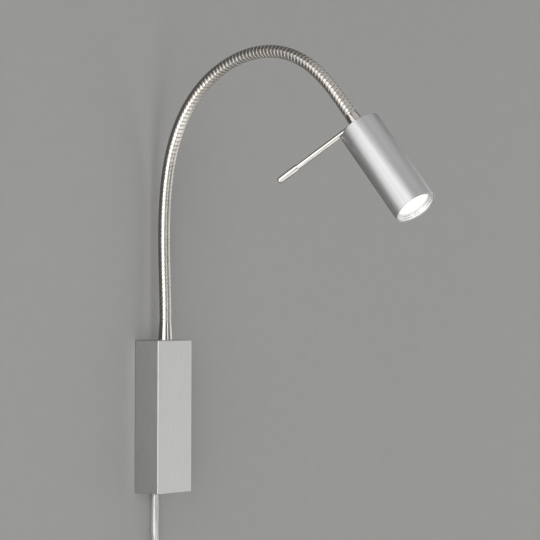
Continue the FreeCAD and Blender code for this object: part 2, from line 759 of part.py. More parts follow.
def make_neck_foot():
    """Coned collar on the box's top, with a threaded tail below and a seat for the neck above."""
    bore, tail = s.foot_tail_bore, s.foot_tail_radius
    seat = s.spigot_radius + s.spigot_fit
    shelf = s.foot_length - s.spigot_length
    return turned_body("neck_foot", [
        (bore, -s.foot_tail_length), (tail, -s.foot_tail_length), (tail, 0), (s.foot_radius, 0),
        (s.neck_radius, s.foot_length), (seat, s.foot_length), (seat, shelf), (bore, shelf)],
        on_neck_axis(BOX_TOP))


def make_washer():
    return turned_body("toothed_washer", [
        (s.foot_tail_radius + s.thread_fit, -s.washer_thickness), (s.washer_radius, -s.washer_thickness),
        (s.washer_radius, 0), (s.foot_tail_radius + s.thread_fit, 0)], on_neck_axis(INNER_TOP))


def make_nut(label, bore, place):
    """A thin hexagon nut that hangs down from its placement's plane."""
    body = new_body(label)
    outline = new_sketch(body)
    flat, corner = s.nut_across_flats / 2, s.nut_across_flats / math.sqrt(3)
    draw_outline(outline, [(corner, 0), (corner / 2, flat), (-corner / 2, flat), (-corner, 0),
                           (-corner / 2, -flat), (corner / 2, -flat)])
    draw_circle(outline, 0, 0, bore + s.thread_fit)
    pad(body, outline, s.nut_height, back=True)
    body.Placement = place
    return body


# ---------------------------------------------------------------- head

def make_head_collar():
    """Coned collar at the neck's end, whose tail goes through the head's back."""
    bore, seat, tail = s.foot_tail_bore, s.spigot_radius + s.spigot_fit, s.collar_tail_radius
    body = new_body("head_collar")
    profile = new_sketch(body, "XZ_Plane")
    shelf = s.spigot_length - s.collar_length
    draw_outline(profile, [
        (seat, -s.collar_length), (s.neck_radius, -s.collar_length), (s.collar_radius, 0), (tail, 0),
        (tail, s.collar_tail_length), (bore, s.collar_tail_length), (bore, shelf), (seat, shelf)])
    revolve(body, profile)
    seat_hole = new_sketch(body, "XZ_Plane")
    draw_circle(seat_hole, 0, -s.handle_from_head, s.handle_radius + s.handle_fit)
    bind(seat_hole, "AttachmentOffset.Base.z", s.handle_seat)
    pocket(body, seat_hole, s.collar_radius, back=True)
    body.Placement = in_head(0, Rotation(Z_AXIS, -number(s.handle_turn)))
    return body


def handle_place(distance):
    """A placement on the handle's axis, at a distance from the head's axis, with Z pointing out."""
    angle = math.radians(number(s.handle_turn))
    out = Vector(-math.sin(angle), -math.cos(angle), 0)
    local = Placement(out * number(distance) - Z_AXIS * number(s.handle_from_head), Rotation(Z_AXIS, out))
    return HEAD_PLACE.multiply(local)


def make_handle_rod():
    """Straight rod screwed into the side of the head's collar."""
    length = s.handle_reach - s.handle_seat - s.grip_end_wall
    return turned_body("handle_rod", [(0, 0), (s.handle_radius, 0), (s.handle_radius, length), (0, length)],
                       handle_place(s.handle_seat))


def make_handle_grip():
    """Thicker sleeve on the rod's free end, with a rounded tip."""
    bore, outer = s.handle_radius + s.handle_fit, s.grip_radius
    inside = s.grip_length - s.grip_end_wall
    body = turned_body("handle_grip", [
        (bore, 0), (outer, 0), (outer, s.grip_length), (0, s.grip_length), (0, inside), (bore, inside)],
        handle_place(s.handle_reach - s.grip_length))
    round_edges(body, s.grip_tip_radius, lambda edge: is_ring(edge, s.grip_radius, s.grip_length))
    return body


def is_ring(edge, radius, height):
    """Is the edge a full level circle of this radius at this height?"""
    box, across = edge.BoundBox, 2 * number(radius)
    wide = abs(box.XLength - across) < TOUCHING and abs(box.YLength - across) < TOUCHING
    return wide and abs(box.ZMin - number(height)) < TOUCHING and box.ZLength < TOUCHING


def make_head_tube():
    """Thin round tube, open at both ends."""
    inner = s.head_radius - s.head_wall
    body = turned_body("head_tube", [(inner, 0), (s.head_radius, 0), (s.head_radius, s.head_length),
                                     (inner, s.head_length)], HEAD_PLACE)
    round_edges(body, s.head_edge, lambda edge: is_ring(edge, s.head_radius, 0)
                or is_ring(edge, s.head_radius, s.head_length))
    return body


def make_head_back():
    """Disc that closes the head's back, held between the collar and its nut."""
    rim, hole = s.head_radius - s.head_wall - s.back_fit, s.collar_tail_radius + s.back_hole_fit
    return turned_body("head_back", [(hole, 0), (rim, 0), (rim, s.back_thickness),
                                     (hole, s.back_thickness)], HEAD_PLACE)


def make_heat_sink():
    """Finned aluminium core that carries the light board."""
    body = new_body("heat_sink")
    rim = s.head_radius - s.head_wall - s.sink_fit
    base = new_sketch(body)
    draw_circle(base, 0, 0, s.sink_core_radius)
    draw_circle(base, 0, 0, s.sink_bore)
    pad(body, base, s.sink_length)
    plate = new_sketch(body)
    draw_circle(plate, 0, 0, rim)
    draw_circle(plate, 0, 0, s.sink_bore)
    bind(plate, "AttachmentOffset.Base.z", s.sink_length - s.sink_plate)
    pad(body, plate, s.sink_plate)
    fin_sketch = new_sketch(body)
    half = s.fin_thickness / 2
    draw_outline(fin_sketch, rectangle(s.sink_core_radius - s.fin_thickness, -half, rim - half, half))
    fin = pad(body, fin_sketch, s.sink_length)
    doc.recompute()
    fins = body.newObject("PartDesign::PolarPattern", "fins")
    fins.Originals = [fin]
    fins.Axis = (fin_sketch, ["N_Axis"])
    fins.Angle = 360
    bind(fins, "Occurrences", s.sink_fins)
    body.Tip = fins
    body.Placement = in_head(s.sink_start)
    return body


SINK_FRONT = s.sink_start + s.sink_length
BOARD_FRONT = SINK_FRONT + s.board_thickness
LENS_FRONT = s.head_length - s.lens_recess
LENS_BACK = LENS_FRONT - s.lens_thickness
BEZEL_BACK = s.head_length - s.bezel_length


def make_led_board():
    """Round metal-core board with two screw holes."""
    body = new_body("led_board")
    outline = new_sketch(body)
    draw_circle(outline, 0, 0, s.board_radius)
    for side in (-1, 1):
        draw_circle(outline, side * s.board_screw_offset, 0, s.board_screw_radius + s.screw_fit)
    pad(body, outline, s.board_thickness)
    body.Placement = in_head(SINK_FRONT)
    return body


def make_led_chip():
    """Square light source on the board."""
    body = new_body("led_chip")
    outline = new_sketch(body)
    half = s.chip_side / 2
    draw_outline(outline, rectangle(-half, -half, half, half))
    pad(body, outline, s.chip_height)
    body.Placement = in_head(BOARD_FRONT)
    return body


def make_board_screws():
    """Two short screws that hold the board; their heads stand on it."""
    axis = HEAD_ROTATION.multVec(-Z_AXIS)
    shanks = []
    for side in (-1, 1):
        seat = HEAD_PLACE.multVec(Vector(side * number(s.board_screw_offset), 0, number(BOARD_FRONT)))
        shanks.append(screw(s.board_screw_radius, s.board_thickness, s.board_screw_head,
                            s.board_screw_head_height, seat, axis))
    return group(shanks, "board_screws")


def make_reflector():
    """Thin cone between the light source and the lens."""
    wall, throat, rim = s.reflector_wall, s.reflector_throat, s.reflector_rim
    low, high = BOARD_FRONT + s.board_screw_head_height + s.reflector_clearance, BEZEL_BACK
    return turned_body("reflector", [(throat, low), (throat + wall, low), (rim + wall, high), (rim, high)],
                       HEAD_PLACE)


def make_lens():
    """Frosted disc with a slight crown, behind the bezel's window."""
    return turned_body("lens", [
        (0, LENS_BACK), (s.lens_radius, LENS_BACK), (s.lens_radius, LENS_FRONT - s.lens_crown),
        (s.lens_shoulder_radius, LENS_FRONT - s.lens_shoulder_drop), (s.lens_flat_radius, LENS_FRONT),
        (0, LENS_FRONT)], HEAD_PLACE)


def make_bezel():
    """Stepped ring in the head's mouth, whose steps open from the lens towards the rim."""
    outer = s.head_radius - s.head_wall - s.bezel_fit
    seat = s.lens_radius + s.lens_fit
    window, step = s.bezel_window, s.bezel_step
    front = s.head_length - s.head_edge
    rise = (front - LENS_FRONT) / 3
    return turned_body("lens_bezel", [
        (seat, BEZEL_BACK), (outer, BEZEL_BACK), (outer, front), (window + 2 * step, front),
        (window + 2 * step, front - rise), (window + step, front - rise),
        (window + step, front - 2 * rise), (window, front - 2 * rise),
        (window, LENS_FRONT + s.lens_fit), (seat, LENS_FRONT + s.lens_fit)], HEAD_PLACE)


def make_head_lead():
    """The lead inside the head, from the collar through the heat sink to the board."""
    return named(cylinder(s.lead_radius, SINK_FRONT, HEAD_BACK, HEAD_ROTATION.multVec(Z_AXIS)), "head_lead")


# ---------------------------------------------------------------- cord, coil and plug

def spiral_point(turn):
    """Point and heading on the coil: in along the back layer, across, and out along the front one."""
    turns, pitch, crossing = number(s.coil_turns), number(s.coil_pitch), number(s.coil_crossing_turns)
    past_middle = turn - turns / 2
    radius = number(s.coil_outer_radius) - pitch * (turns / 2 - abs(past_middle))
    growth = math.copysign(pitch, past_middle) if past_middle else 0
    across = min(max(past_middle / crossing + 0.5, 0), 1)
    layer = pitch * across * across * (3 - 2 * across)
    climbing = 6 * across * (1 - across) * pitch / crossing
    angle = math.radians(number(s.coil_start_angle)) - 2 * math.pi * turn
    out = Vector(math.cos(angle), 0, math.sin(angle))
    forward = Vector(math.sin(angle), 0, -math.cos(angle))
    centre = Vector(number(s.coil_x), -number(s.coil_from_wall) - layer, number(s.coil_z))
    heading = forward * (2 * math.pi * radius) + out * growth - Vector(0, climbing, 0)
    return centre + out * radius, heading.normalize()


def biarc(start, start_heading, end, end_heading):
    """Two arcs that join two points along two headings."""
    chord, total = end - start, start_heading + end_heading
    a = 2 * (1 - start_heading.dot(end_heading))
    b = 2 * chord.dot(total)
    reach = (-b + math.sqrt(b * b + 4 * a * chord.dot(chord))) / (2 * a)
    joint = (start + end + (start_heading - end_heading) * reach) * 0.5
    return [arc_from(start, start_heading, joint), arc_from(end, end_heading * -1, joint, turned=True)]


def arc_from(point, heading, end, turned=False):
    """The arc that leaves a point along a heading and reaches another point."""
    chord = end - point
    half = heading.getAngle(chord)
    side = (chord - heading * chord.dot(heading)).normalize()
    sagitta = chord.Length / 2 * math.tan(half / 2)
    bulge = (heading * math.sin(half) - side * math.cos(half)).normalize()
    middle = (point + end) * 0.5 + bulge * sagitta
    ends = (end, point) if turned else (point, end)
    return Part.Arc(ends[0], middle, ends[1]).toShape()


def coil_stations():
    """Half-turn stations of the coil, with one at the turn where it reverses."""
    turns = number(s.coil_turns)
    steps = 2 * round(turns)
    return [turns * step / steps for step in range(steps + 1)]


def coil_gap(path):
    """The least clear distance between stretches of the coil that lie over half a turn apart."""
    per_turn = 48
    points = path.discretize(Number=per_turn * round(number(s.coil_turns)))
    pairs = ((here - there).Length for index, here in enumerate(points)
             for there in points[index + per_turn // 2:])
    return min(pairs) - 2 * number(s.cord_radius)


def make_cord_coil():
    """The spare cord, wound in two layers, as one unbroken tube with straight ends."""
    stations = [spiral_point(turn) for turn in coil_stations()]
    (first, first_heading), (last, last_heading) = stations[0], stations[-1]
    straight = 2 * number(s.cord_radius)
    begin = first - first_heading * straight
    edges = [Part.LineSegment(begin, first).toShape()]
    for (here, heading), (there, next_heading) in zip(stations, stations[1:]):
        edges += biarc(here, heading, there, next_heading)
    edges.append(Part.LineSegment(last, last + last_heading * straight).toShape())
    shape = sweep(edges, begin, first_heading, number(s.cord_radius))
    length = sum(edge.Length for edge in edges)
    share = shape.Volume / (math.pi * number(s.cord_radius) ** 2 * length)
    print(f"cord_coil: {length:.1f} mm long, least gap to itself {coil_gap(Part.Wire(edges)):.2f} mm, "
          f"volume ratio {share:.4f}")
    end = last + last_heading * straight
    return made_feature("cord_coil", shape), (begin, first_heading), (end, last_heading)


def make_cord_tie(coil):
    """Flat strap round the coil at its lowest point."""
    wall, clear, half = s.tie_thickness, s.tie_clearance, s.tie_width / 2
    reach = number(s.coil_outer_radius + 2 * s.cord_radius)
    below = Part.makeBox(number(s.tie_width), reach, reach,
                         Vector(number(s.coil_x - half), -reach, number(s.coil_z) - reach))
    box = coil.Shape.common(below).BoundBox
    size = (s.tie_width, box.YLength + 2 * clear, box.ZLength + 2 * clear)
    corner = (s.coil_x - half, box.YMin - clear, box.ZMin - clear)
    hole = block(*size, corner)
    outer = block(size[0], size[1] + 2 * wall, size[2] + 2 * wall,
                  (corner[0], corner[1] - wall, corner[2] - wall))
    return named(cut(outer, hole), "cord_tie")


def make_plug(place):
    """Flat two-pin plug with a coned boot; local Z points from the pins back along the cord."""
    body = new_body("plug_body")
    plan = new_sketch(body, "XZ_Plane")
    face, widest, rear = s.plug_face_width / 2, s.plug_width / 2, s.plug_rear_width / 2
    draw_outline(plan, [(-face, 0), (face, 0), (widest, s.plug_widest), (rear, s.plug_length),
                        (-rear, s.plug_length), (-widest, s.plug_widest)])
    pad(body, plan, s.plug_thickness, midplane=True)
    round_edges(body, s.plug_corner_radius, lambda edge: edge.BoundBox.YLength < TOUCHING
                and edge.BoundBox.ZMin > TOUCHING)
    boot = new_sketch(body, "XZ_Plane")
    top = s.plug_length + s.boot_length
    root = s.plug_length - s.plug_corner_radius
    draw_outline(boot, [(0, root), (s.boot_radius, root), (s.boot_radius, s.plug_length),
                        (s.boot_tip_radius, top), (0, top)])
    revolve(body, boot)
    holes = new_sketch(body)
    for side in (-1, 1):
        draw_circle(holes, side * s.pin_spacing / 2, 0, s.pin_radius)
    pocket(body, holes, s.pin_seat, back=True)
    body.Placement = place
    return body


def make_plug_pins(place):
    """Two round pins with domed tips, seated in the plug."""
    pins = []
    for side in (-1, 1):
        stem = cylinder(s.pin_radius, s.pin_seat + s.pin_length - s.pin_radius)
        dome = doc.addObject("Part::Sphere", "dome")
        bind(dome, "Radius", s.pin_radius)
        pin = fuse([stem, dome])
        local = Vector(side * number(s.pin_spacing) / 2, 0, number(s.pin_radius - s.pin_length))
        pin.Placement = place.multiply(Placement(local, Rotation()))
        pins.append(pin)
    return group(pins, "plug_pins")


def make_cord_pieces():
    """Free stretch, coil, tie, free end and plug, each meeting the next face to face."""
    coil, (coil_begin, inward), (coil_end, outward) = make_cord_coil()
    route = [CORD_EXIT + Vector(*offset) for offset in CORD_ROUTE]
    route += [coil_begin - inward * number(s.coil_run_in), coil_begin]
    cord = make_tube("cord", route, number(s.cord_radius))
    end_route = [coil_end, coil_end + outward * number(s.coil_run_out)]
    end_route += [coil_end + Vector(*offset) for offset in CORD_END_ROUTE]
    cord_end = make_tube("cord_end", end_route, number(s.cord_radius))
    back_along = (end_route[-2] - end_route[-1]).normalize()
    rotation = Rotation(Z_AXIS, back_along)
    reach = number(s.plug_length + s.boot_length)
    place = Placement(end_route[-1] - back_along * reach, rotation)
    return [cord, coil, make_cord_tie(coil), cord_end, make_plug(place), make_plug_pins(place)]


# ---------------------------------------------------------------- the whole lamp

def make_all():
    pieces = [make_housing(), make_wall_bracket(), make_cover_screws(), make_cord_grommet(),
              make_cord_clamp(), make_clamp_screws(), make_terminal_block(), make_terminal_screws(),
              make_driver(), make_driver_screws(), make_supply_wires(), make_cord_tail(),
              make_driver_lead(), make_neck_foot(), make_washer(),
              make_nut("lock_nut", s.foot_tail_radius, on_neck_axis(INNER_TOP - s.washer_thickness))]
    pieces += [make_link(index) for index in range(NECK_LINKS)]
    pieces += [make_neck_lead(), make_head_collar(), make_handle_rod(), make_handle_grip(),
               make_head_tube(), make_head_back(),
               make_nut("head_nut", s.collar_tail_radius, in_head(s.back_thickness + s.nut_height)),
               make_heat_sink(), make_led_board(), make_led_chip(), make_board_screws(),
               make_reflector(), make_lens(), make_bezel(), make_head_lead()]
    return pieces + make_cord_pieces()


def check(pieces):
    """Stop if any object failed to build or any piece isn't a valid shape."""
    doc.recompute()
    for thing in doc.Objects:
        if {"Invalid", "Error"} & set(thing.State):
            raise RuntimeError(f"{thing.Label} failed: {thing.State}")
    for piece in pieces:
        if piece.Shape.isNull() or not piece.Shape.isValid() or not piece.Shape.Solids:
            raise RuntimeError(f"{piece.Label} isn't a valid solid")
    labels = [piece.Label for piece in pieces]
    if len(set(labels)) != len(labels):
        raise RuntimeError("two pieces share a name")


def export(pieces):
    os.makedirs("parts", exist_ok=True)
    for piece in pieces:
        piece.Shape.exportStep(os.path.join("parts", piece.Label + ".step"))


lamp = make_all()
check(lamp)
export(lamp)
for number_of_link, (place, heading) in enumerate(STATIONS):
    print(f"neck station {number_of_link}: {place.x:.3f} {place.y:.3f} {place.z:.3f}, "
          f"heading {heading:.2f}")
print(f"head back at {HEAD_BACK.x:.2f} {HEAD_BACK.y:.2f} {HEAD_BACK.z:.2f}, {len(lamp)} pieces")
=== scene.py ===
import bpy
import numpy as np
from mathutils import Matrix


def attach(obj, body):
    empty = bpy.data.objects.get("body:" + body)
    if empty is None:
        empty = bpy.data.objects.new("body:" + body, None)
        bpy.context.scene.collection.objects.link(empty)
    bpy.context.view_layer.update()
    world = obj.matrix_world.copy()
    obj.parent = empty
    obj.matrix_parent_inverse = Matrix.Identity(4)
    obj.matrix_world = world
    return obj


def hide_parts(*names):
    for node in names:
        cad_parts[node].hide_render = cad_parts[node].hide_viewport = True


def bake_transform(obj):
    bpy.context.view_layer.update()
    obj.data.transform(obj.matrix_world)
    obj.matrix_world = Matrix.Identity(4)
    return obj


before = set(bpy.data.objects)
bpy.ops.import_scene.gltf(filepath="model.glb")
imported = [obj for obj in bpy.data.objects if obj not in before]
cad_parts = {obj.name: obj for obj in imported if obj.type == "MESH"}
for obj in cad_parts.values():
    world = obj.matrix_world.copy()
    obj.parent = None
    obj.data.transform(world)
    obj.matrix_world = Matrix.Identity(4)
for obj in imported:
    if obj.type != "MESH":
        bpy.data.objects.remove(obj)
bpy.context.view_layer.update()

# ---------------------------------------------------------------- camera
# The lamp is seen from its left, 51 degrees round from straight in front and level with the box,
# through a long lens, with the neck's arch filling the top of a square frame.
camera_turn, camera_pitch, camera_roll = np.radians([-51.18107, 0.41844, 0.19777])
camera_aim_right, camera_aim_up, camera_aim_drop = 0.11587336, 0.21929799, 0.075
camera_distance, camera_lens = 2.461876, 166.151
ahead = np.array([-np.sin(camera_turn) * np.cos(camera_pitch),
                  np.cos(camera_turn) * np.cos(camera_pitch), np.sin(camera_pitch)])
level_right = np.array([np.cos(camera_turn), np.sin(camera_turn), 0.0])
level_up = np.cross(level_right, ahead)
image_right = level_right * np.cos(camera_roll) + level_up * np.sin(camera_roll)
image_up = level_up * np.cos(camera_roll) - level_right * np.sin(camera_roll)
aim = level_right * camera_aim_right + level_up * camera_aim_up - np.array([0, 0, camera_aim_drop])
stand = aim - ahead * camera_distance
camera = bpy.data.objects.new("camera", bpy.data.cameras.new("camera"))
camera.data.lens = camera_lens
camera.data.sensor_width = 36
camera.data.clip_end = 30
camera.matrix_world = Matrix([[image_right[k], image_up[k], -ahead[k], stand[k]] for k in range(3)]
                             + [[0, 0, 0, 1]])
bpy.context.scene.collection.objects.link(camera)
bpy.context.scene.camera = camera

# ---------------------------------------------------------------- mains cord
# Round clear two-core mains lead, 7 mm thick. It leaves the bottom of the box close to the wall, hangs
# straight down, and its spare length is wound in two layers into a neat coil against the wall.
MM = 0.001
cord_radius = 3.5
cord_exit = np.array([0, -4.2, -75.0])
cord_hang = cord_exit + np.array([(0, 0, 0), (0, 0, -20), (-1, -0.4, -52)])
coil_centre = np.array([-25, -5.2, -195.0])
coil_outer, coil_pitch, coil_turns, coil_start = 54, 7.8, 6.02, np.radians(26.2)
coil_run_in, coil_run_out, coil_straight = 22, 11, 7
cord_end_offsets = np.array([(7.6, -0.2, -23), (8.4, -0.4, -39)])
points_per_turn = 18


def coil_point(turn):
    """Point and heading after some turns: the radius shrinks by a pitch per turn and grows again, while
    the depth climbs smoothly by one pitch over the middle turn."""
    past_middle = turn - coil_turns / 2
    radius = coil_outer - coil_pitch * (coil_turns / 2 - np.abs(past_middle))
    across = np.clip(past_middle + 0.5, 0, 1)
    layer = coil_pitch * across ** 2 * (3 - 2 * across)
    angle = coil_start - 2 * np.pi * turn
    out = np.stack([np.cos(angle), 0 * angle, np.sin(angle)], -1)
    forward = np.stack([np.sin(angle), 0 * angle, -np.cos(angle)], -1)
    growth = np.where(past_middle < 0, -coil_pitch, coil_pitch)[..., None]
    heading = forward * (2 * np.pi * radius)[..., None] + out * growth
    heading = heading / np.linalg.norm(heading, axis=-1, keepdims=True)
    return coil_centre + out * radius[..., None] - np.array([0, 1, 0]) * layer[..., None], heading


coil_points, coil_headings = coil_point(np.linspace(0, coil_turns, int(points_per_turn * coil_turns)))
coil_begin = coil_points[0] - coil_headings[0] * coil_straight
coil_end = coil_points[-1] + coil_headings[-1] * coil_straight
cord_route = np.concatenate([
    cord_hang, [coil_begin - coil_headings[0] * coil_run_in, coil_begin], coil_points,
    [coil_end, coil_end + coil_headings[-1] * coil_run_out], coil_end + cord_end_offsets])


def nurbs_line(name, points, radius=0.0):
    """A smooth line through space that has these points, in millimetres, as its control points."""
    data = bpy.data.curves.new(name, "CURVE")
    data.dimensions = "3D"
    spline = data.splines.new("NURBS")
    spline.points.add(len(points) - 1)
    spline.points.foreach_set("co", np.c_[points * MM, np.ones(len(points))].ravel())
    spline.order_u = 3
    spline.use_endpoint_u = True
    spline.resolution_u = 6
    data.bevel_depth = radius * MM
    data.bevel_resolution = 4
    data.use_fill_caps = radius > 0
    line = bpy.data.objects.new(name, data)
    bpy.context.scene.collection.objects.link(line)
    return line


class Value:
    """A node socket that takes part in Python sums by adding Math nodes."""

    def __init__(self, material, socket):
        self.material, self.socket = material, socket

    def math(self, operation, first, second):
        """One Math node over two values."""
        return self.material.node("ShaderNodeMath", {"operation": operation}, {0: first, 1: second})

    def __add__(self, other):
        return self.math("ADD", self, other)

    __radd__ = __add__

    def __mul__(self, other):
        return self.math("MULTIPLY", self, other)

    __rmul__ = __mul__


class Nodes:
    """A node tree, and one way to add a node to it with its settings, socket values and links."""

    def __init__(self, tree):
        self.tree = tree

    def plug(self, node, sockets):
        """Fill a node's sockets: a value becomes a link, and anything else is set."""
        for key, value in sockets.items():
            socket = node.inputs[key]
            if isinstance(value, Value):
                self.tree.links.new(value.socket, socket)
            elif isinstance(value, (tuple, list)) and len(value) == 3 and socket.type == "RGBA":
                socket.default_value = (*value, 1)
            else:
                socket.default_value = value

    def node(self, kind, settings=None, sockets=None, output=0):
        """Add a node: its settings first, then its sockets. One of its outputs comes back."""
        made = self.tree.nodes.new(kind)
        for key, value in (settings or {}).items():
            setattr(made, key, value)
        self.plug(made, sockets or {})
        return Value(self, made.outputs[output])

    def part(self, vector, axis):
        """One coordinate of a vector: 0, 1 or 2."""
        return self.node("ShaderNodeSeparateXYZ", {}, {0: vector}, output=axis)

    def spread(self, value, low, high, new_low=0.0, new_high=1.0):
        """A value's range moved to another range, held at its ends."""
        return self.node("ShaderNodeMapRange", {}, {"Value": value, "From Min": low, "From Max": high,
                                                    "To Min": new_low, "To Max": new_high})


class Finish(Nodes):
    """A material: plain values sit on the shader's own sockets, and what varies is linked to them."""

    def __init__(self, name, **plain):
        self.data = bpy.data.materials.new(name)
        self.data.use_nodes = True
        super().__init__(self.data.node_tree)
        self.shader = self.tree.nodes["Principled BSDF"]
        self.feed(**plain)

    def feed(self, **inputs):
        """Set the shader's own sockets by name, with an underscore for a space."""
        self.plug(self.shader, {key.replace("_", " ").title().replace("Ior", "IOR"): value
                                for key, value in inputs.items()})

    def mixed(self, factor, first, second):
        """A colour between two, by a factor."""
        return self.node("ShaderNodeMix", {"data_type": "RGBA"}, {0: factor, 6: first, 7: second},
                         output=2)

    def grain(self, stretch, detail=3.0, turn=(0, 0, 0)):
        """Noise on the object's own coordinates, stretched by a scale for each direction."""
        place = self.node("ShaderNodeTexCoord", output=3)
        mapped = self.node("ShaderNodeMapping", {"vector_type": "POINT"},
                           {"Vector": place, "Rotation": turn})
        scaled = self.node("ShaderNodeVectorMath", {"operation": "MULTIPLY"}, {0: mapped, 1: stretch})
        return self.node("ShaderNodeTexNoise", {}, {"Vector": scaled, "Scale": 1.0, "Detail": detail,
                                                    "Roughness": 0.6})

    def bump(self, height, strength, distance):
        """A height made into a normal, with its depth in metres."""
        return self.node("ShaderNodeBump", {}, {"Height": height, "Strength": strength,
                                                "Distance": distance})

    def dress(self, *pieces):
        """Put this finish on pieces or CAD nodes."""
        for piece in pieces:
            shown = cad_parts[piece] if isinstance(piece, str) else piece
            shown.data.materials.clear()
            shown.data.materials.append(self.data)


clear_sheath = Finish("clear cord sheath", base_color=(0.98, 0.98, 0.97), metallic=0.35, roughness=0.2)
haze = clear_sheath.grain((400, 400, 400))
streaks = clear_sheath.grain((1500, 1500, 12), detail=2)
clear_sheath.feed(roughness=clear_sheath.spread(haze, 0.3, 0.7, 0.14, 0.26),
                  alpha=clear_sheath.spread(streaks, 0.38, 0.6, 0.35, 0.95))

cord = nurbs_line("mains_cord", cord_route, cord_radius)
clear_sheath.dress(cord)
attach(cord, "wall_box")
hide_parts("cord", "cord_coil", "cord_end")

# ---------------------------------------------------------------- cores inside the clear cord
# Two bundles of fine tinned copper strands, twisted slowly round each other. They show through the
# clear sheath as bright streaks, with painted shade darkening the lines between the strands.
core_radius, core_offset, core_twist = 1.5, 1.58, 110
strands_round, strand_lay = 7, 40
core_columns = 12
smooth_below = np.radians(35)


def line_points(line):
    """The points that a plain curve passes through, as an array in metres."""
    bpy.context.view_layer.update()
    shape = bpy.data.meshes.new_from_object(line)
    points = np.empty(len(shape.vertices) * 3)
    shape.vertices.foreach_get("co", points)
    bpy.data.meshes.remove(shape)
    return points.reshape(-1, 3)


def surface(name, grid, closed_rows=False):
    """A skin over a grid of points, rows along it and columns round it. Each face joins four
    neighbours, the last column joins the first, open ends are filled, and the UV map holds the shares
    of the way round and of the way along."""
    rows, columns = grid.shape[:2]
    spans = rows if closed_rows else rows - 1
    row, column = np.meshgrid(np.arange(spans), np.arange(columns), indexing="ij")
    after, beside = (row + 1) % rows * columns, (column + 1) % columns
    corners = np.stack([row * columns + column, row * columns + beside,
                        after + beside, after + column], -1)
    faces = corners.reshape(-1, 4).tolist()
    if not closed_rows:
        faces += [list(range(columns))[::-1], list(range((rows - 1) * columns, rows * columns))]
    mesh = bpy.data.meshes.new(name)
    mesh.from_pydata(grid.reshape(-1, 3) * MM, [], faces)
    round_share = np.stack([column, column + 1, column + 1, column], -1) / columns
    along_share = np.stack([row, row, row + 1, row + 1], -1) / spans
    uv = np.zeros((len(mesh.loops), 2))
    uv[:4 * spans * columns] = np.stack([round_share, along_share], -1).reshape(-1, 2)
    mesh.uv_layers.new(name="UVMap").data.foreach_set("uv", uv.ravel())
    mesh.shade_smooth()
    mesh.set_sharp_from_angle(angle=smooth_below)
    piece = bpy.data.objects.new(name, mesh)
    bpy.context.scene.collection.objects.link(piece)
    return piece


centre_line = nurbs_line("cord_centre", cord_route)
centres = line_points(centre_line) / MM
bpy.data.objects.remove(centre_line)


def tube_frame(centres):
    """Directions along, beside and out from a line that lies close to the wall: beside is square to the
    line and to the wall's normal, and out is square to both. Also the length run so far."""
    along = np.gradient(centres, axis=0)
    along /= np.linalg.norm(along, axis=1, keepdims=True)
    beside = np.cross(along, [0, 1, 0])
    beside /= np.linalg.norm(beside, axis=1, keepdims=True)
    run = np.r_[0, np.cumsum(np.linalg.norm(np.diff(centres, axis=0), axis=1))]
    return along, beside, np.cross(along, beside), run


def twisted_cores(centres):
    """Both cores as tubes: each centre circles the cord's line once per twist, half a turn apart."""
    along, beside, out, run = tube_frame(centres)
    around = np.linspace(0, 2 * np.pi, core_columns, endpoint=False)
    grids = []
    for start in (0, np.pi):
        phase = start + 2 * np.pi * run / core_twist
        middle = centres + core_offset * (beside * np.cos(phase)[:, None]
                                          + out * np.sin(phase)[:, None])
        ring = (np.cos(around)[None, :, None] * beside[:, None]
                + np.sin(around)[None, :, None] * out[:, None])
        grids.append(middle[:, None] + core_radius * ring)
    return grids, run[-1]


core_grids, cord_run = twisted_cores(centres)
tinned = Finish("tinned strands", metallic=0.55, roughness=0.3)
lay = tinned.node("ShaderNodeTexCoord", output=2)
lay_round, lay_along = tinned.part(lay, 0), tinned.part(lay, 1)
strand_turns = lay_round * strands_round + lay_along * (cord_run / strand_lay)
strands = tinned.node("ShaderNodeMath", {"operation": "SINE"}, {0: strand_turns * (2 * np.pi)})
# Painted shade: the colour darkens in the crevices between the strands, where the same wave also bumps
# them.
tinned.feed(base_color=tinned.mixed(tinned.spread(strands, -1, 0.2),
                                    (0.4, 0.4, 0.4), (0.98, 0.98, 0.97)),
            normal=tinned.bump(strands, 0.5, 0.0001))
for number, grid in enumerate(core_grids, start=1):
    core = surface(f"cord_core_{number}", grid)
    tinned.dress(core)
    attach(core, "wall_box")

# ---------------------------------------------------------------- plug and coil tie
# Flat two-pin mains plug, moulded on the cord in off-white plastic with a coned boot, and a black
# hook-and-loop strap round the coil.
plug_plastic = Finish("moulded plug plastic", base_color=(0.82, 0.82, 0.8), roughness=0.4)
mottle = plug_plastic.grain((900, 900, 900), detail=4)
plug_plastic.feed(base_color=plug_plastic.mixed(mottle, (0.78, 0.78, 0.75), (0.86, 0.86, 0.84)),
                  roughness=plug_plastic.spread(mottle, 0.3, 0.7, 0.34, 0.48),
                  normal=plug_plastic.bump(mottle, 0.15, 0.0002))
plug_plastic.dress("plug_body")
pin_nickel = Finish("nickel-plated pins", base_color=(0.75, 0.72, 0.64), metallic=1.0, roughness=0.22)
pin_wear = pin_nickel.grain((300, 300, 2500))
pin_nickel.feed(roughness=pin_nickel.spread(pin_wear, 0.3, 0.7, 0.16, 0.32))
pin_nickel.dress("plug_pins")
strap_fabric = Finish("hook-and-loop strap", base_color=(0.03, 0.03, 0.03), roughness=0.95)
loops = strap_fabric.grain((2600, 2600, 2600), detail=5)
strap_fabric.feed(base_color=strap_fabric.mixed(loops, (0.012, 0.012, 0.012), (0.06, 0.06, 0.06)),
                  normal=strap_fabric.bump(loops, 0.8, 0.0006))
strap_fabric.dress("cord_tie")

